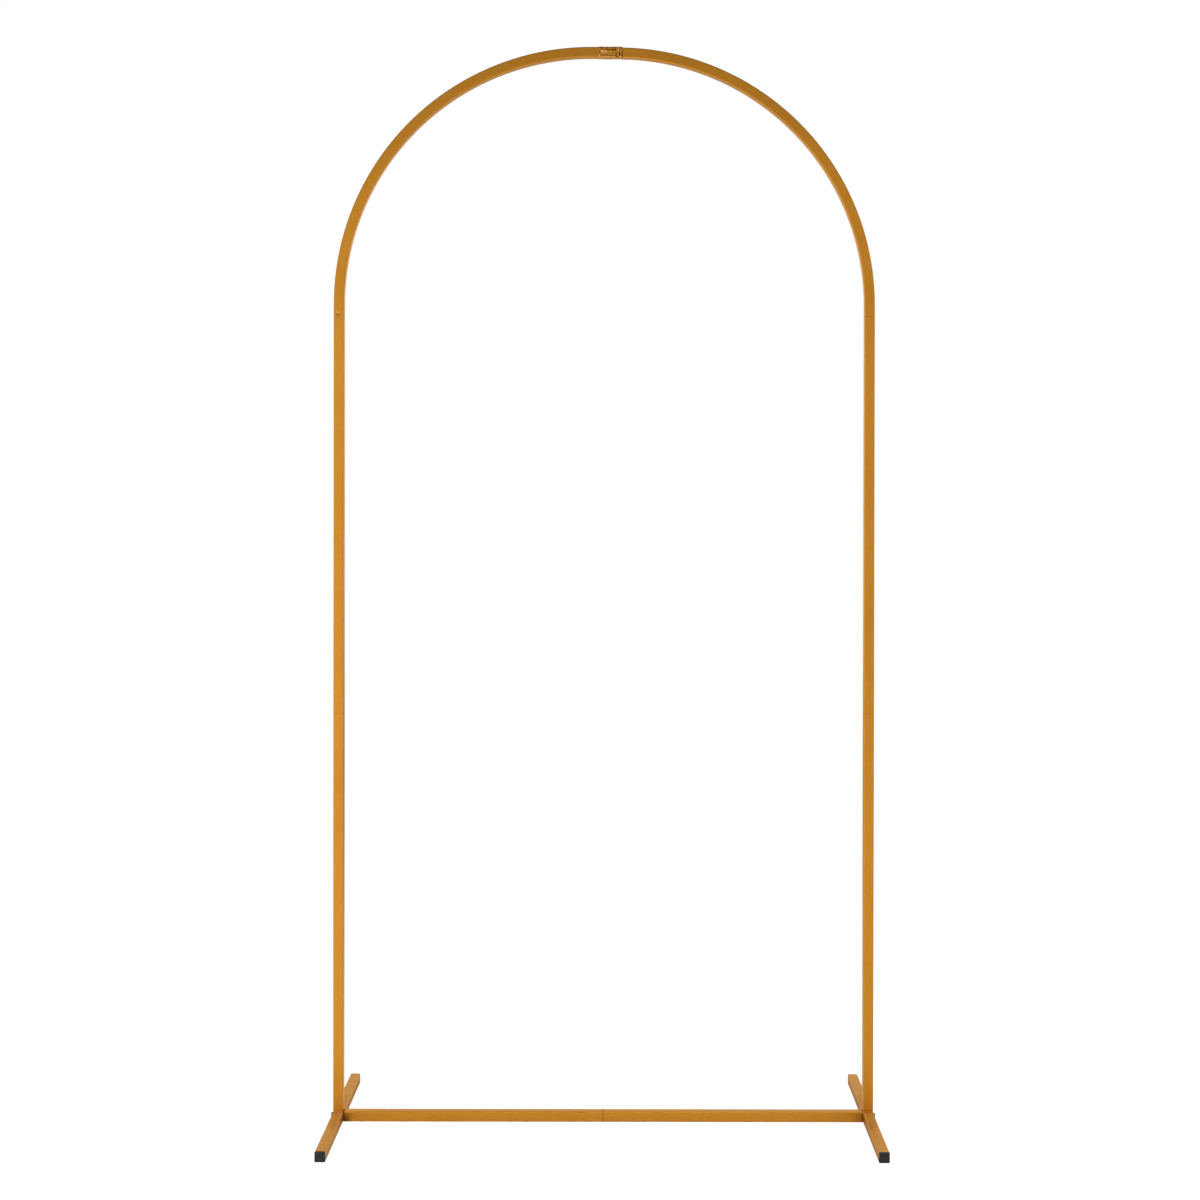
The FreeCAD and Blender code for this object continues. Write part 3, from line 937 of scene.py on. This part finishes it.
def pale_floor():
    """Finish of the floor: it keeps the shadows near the stand and is plain white far away.

    Mirrored, it glows brighter in front of the stand and darker at the back and towards the right,
    and painted shade darkens its glow close beside the feet and the bar.
    """
    material, sheet = new_finish("pale_floor")
    material.cycles.emission_sampling = "NONE"
    _, (x, y, _) = sheet.place()
    camera_ray, mirrored = sheet.ray_kinds()
    far_away = (x * x + y * y).join("SQRT").ramp(1.2, 3.2)
    # Painted shade in the floor's glow seen in reflections, beside the feet and the bar
    painted_shade_beside_feet = abs(x).near(leg_x, 0.07) * (1 - abs(y).ramp(foot_end_y, foot_end_y + 0.15))
    painted_shade_beside_bar = y.near(0.0, 0.2) * (1 - abs(x).ramp(leg_x, leg_x + 0.15))
    in_front = y.near(-1.7, 1.5)
    at_back = y.ramp(1.0, 4.0)
    to_right = x.ramp(0.0, 0.9)
    mirror_light = ((0.6 - 0.38 * at_back + 0.5 * in_front) * (1 - 0.3 * to_right)
                    * (1 - (0.6 * painted_shade_beside_feet | 0.52 * painted_shade_beside_bar)))
    matt = sheet.node("ShaderNodeBsdfDiffuse", None, {"Color": (0.86, 0.86, 0.86, 1.0)})
    lifted = sheet.node("ShaderNodeAddShader", None,
                        {0: matt.outputs[0],
                         1: sheet.glow(camera_ray * 0.72 + mirrored * mirror_light)})
    # Painted shade: mirrored, the floor in line with the feet partly turns black
    painted_shade_in_line_with_feet = mirrored * abs(x).near(leg_x, 0.035) * 0.7
    close_by = sheet.between(painted_shade_in_line_with_feet, lifted.outputs[0], sheet.glow(0.0))
    whole = sheet.between(far_away * camera_ray, close_by, sheet.glow(1.0))
    sheet.node("ShaderNodeOutputMaterial", None, {"Surface": whole})
    return material


def lay_floor():
    """Plain floor, far wider than the view."""
    half = 9.0
    mesh = bpy.data.meshes.new("floor")
    mesh.from_pydata([(-half, -half, 0), (half, -half, 0), (half, half, 0), (-half, half, 0)],
                     [], [(0, 1, 2, 3)])
    mesh.materials.append(pale_floor())
    floor = bpy.data.objects.new("floor", mesh)
    bpy.context.scene.collection.objects.link(floor)


def soft_lamps():
    """Key from the front left, fill from the front right, and a gridded light from above."""
    # Name, place, point it aims at, width, height, spread in degrees, power in watts
    lamps = (
        ("key", (-2.4, -3.8, 1.15), (0, 0, 1.0), 3.0, 2.2, 180, 23.2),
        ("fill", (2.4, -3.8, 2.1), (0, 0, 1.2), 3.0, 2.2, 180, 6.9),
        ("gridded_top", (0, -1.6, 2.6), (0, -0.2, 0), 2.6, 0.8, 70, 6.5),
    )
    for name, place, aim, width, tall, spread, power in lamps:
        lamp = bpy.data.lights.new(name, "AREA")
        lamp.shape = "RECTANGLE"
        lamp.size = width
        lamp.size_y = tall
        lamp.spread = math.radians(spread)
        lamp.energy = power
        holder = bpy.data.objects.new(name, lamp)
        holder.location = place
        line = Vector(aim) - Vector(place)
        holder.rotation_euler = line.to_track_quat("-Z", "Y").to_euler()
        bpy.context.scene.collection.objects.link(holder)


def photo_camera():
    """Camera at the photo's place: nearly level, rolled a little, its lens shifted down."""
    image_side = 1200
    focal_pixels = 1880.0
    tilt_down = math.radians(0.295)
    roll = math.radians(-0.09)
    lens = bpy.data.cameras.new("camera")
    lens.sensor_width = 36.0
    lens.lens = focal_pixels / image_side * lens.sensor_width
    lens.shift_x = -0.015
    lens.shift_y = -0.0748
    camera = bpy.data.objects.new("camera", lens)
    camera.location = (0.026, -3.504, 1.1574)
    camera.rotation_euler = (math.radians(90) - tilt_down, roll, 0)
    bpy.context.scene.collection.objects.link(camera)
    bpy.context.scene.camera = camera


photo_camera()
finish_frame_nodes()
crown_foil()
seam_burr()
for side, outward in (("left", -1), ("right", 1)):
    for end in ("front", "rear"):
        end_plug(side, end)
    foot_bolt(side, outward)
    weld_bead(side, outward * leg_x)
surroundings()
lay_floor()
soft_lamps()
bpy.context.scene.view_settings.view_transform = "Standard"
